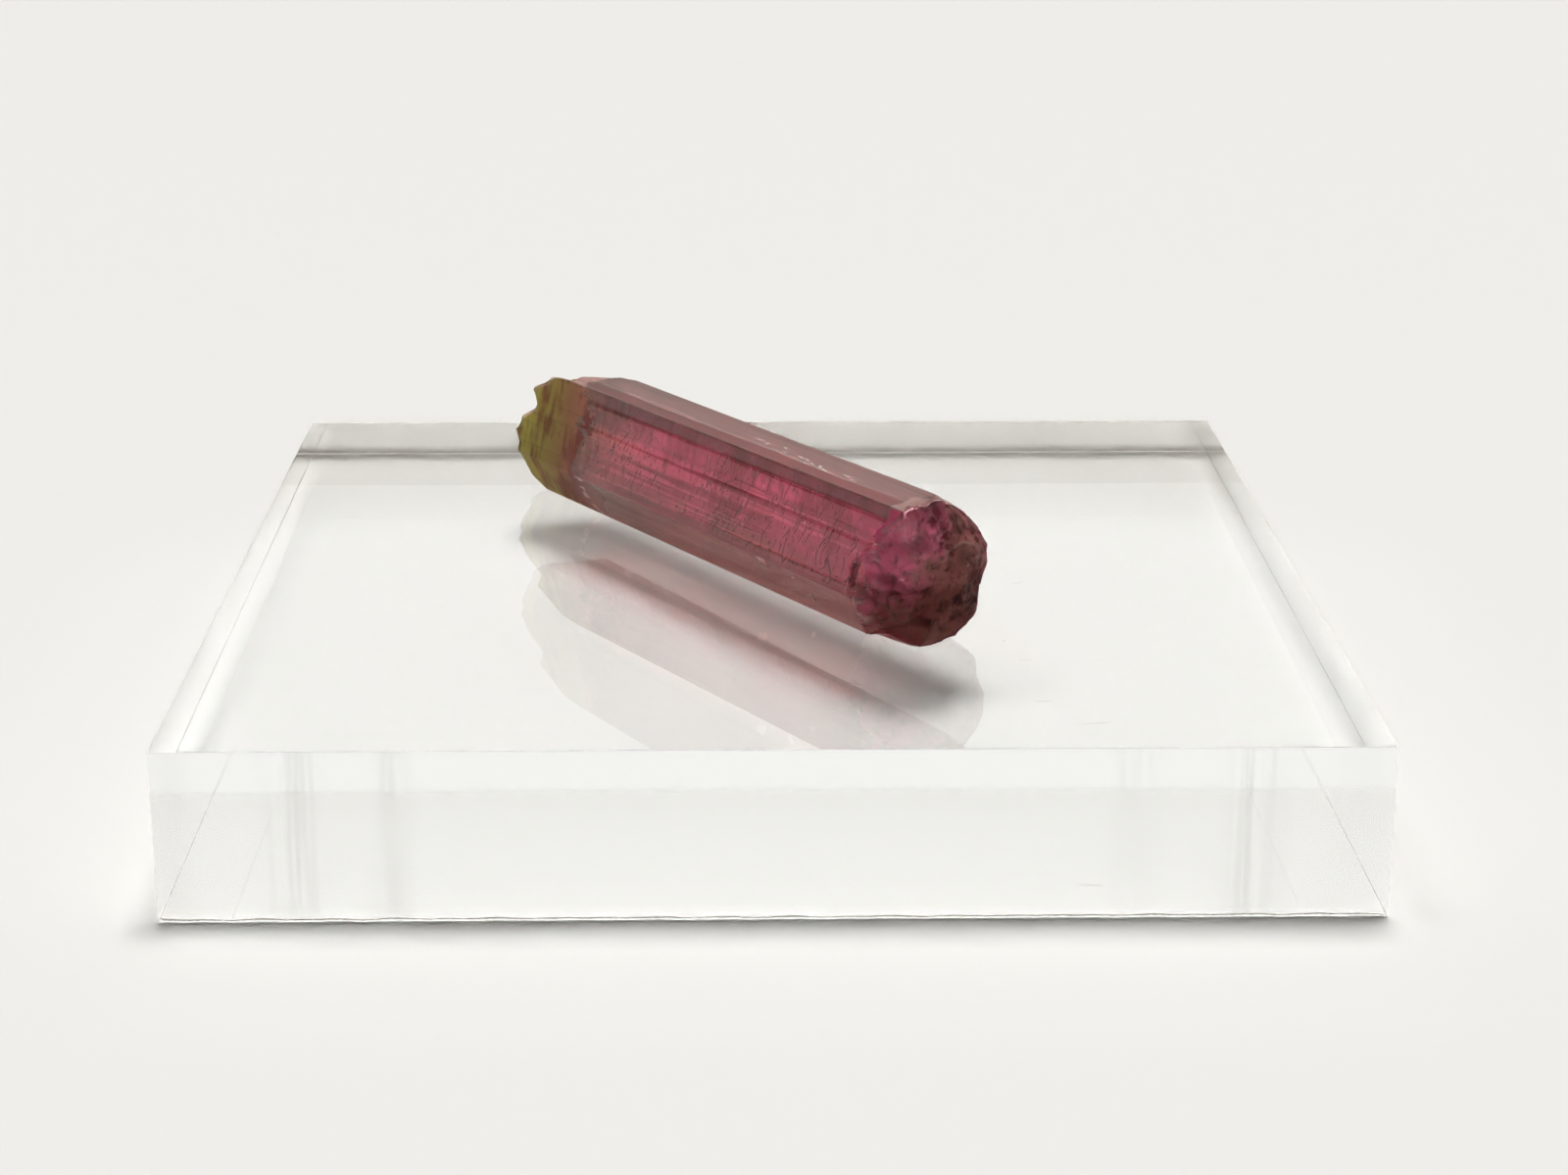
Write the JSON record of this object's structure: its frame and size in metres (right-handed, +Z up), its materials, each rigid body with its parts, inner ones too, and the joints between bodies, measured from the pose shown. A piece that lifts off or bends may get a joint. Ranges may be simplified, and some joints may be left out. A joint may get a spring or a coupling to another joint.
{
  "type": "tourmaline crystal on a display block",
  "caption": "Pink and green tourmaline prism with broken ends, lying across a square block of clear acrylic that displays it.",
  "frame": {"origin": "centre of the display block's underside", "axes": "+Z up, the way the block stands; +X to the right and +Y to the back, square to the block's sides, seen with the crystal's broken pink end nearest and its green end at the back left"},
  "size_m": [0.0636, 0.0636, 0.0179],
  "materials": {
    "tourmaline": "gloss",
    "acrylic": "polished"
  },
  "bodies": {
    "root": {"tourmaline_crystal": "tourmaline", "display_block": "acrylic"}
  },
  "joints": []
}
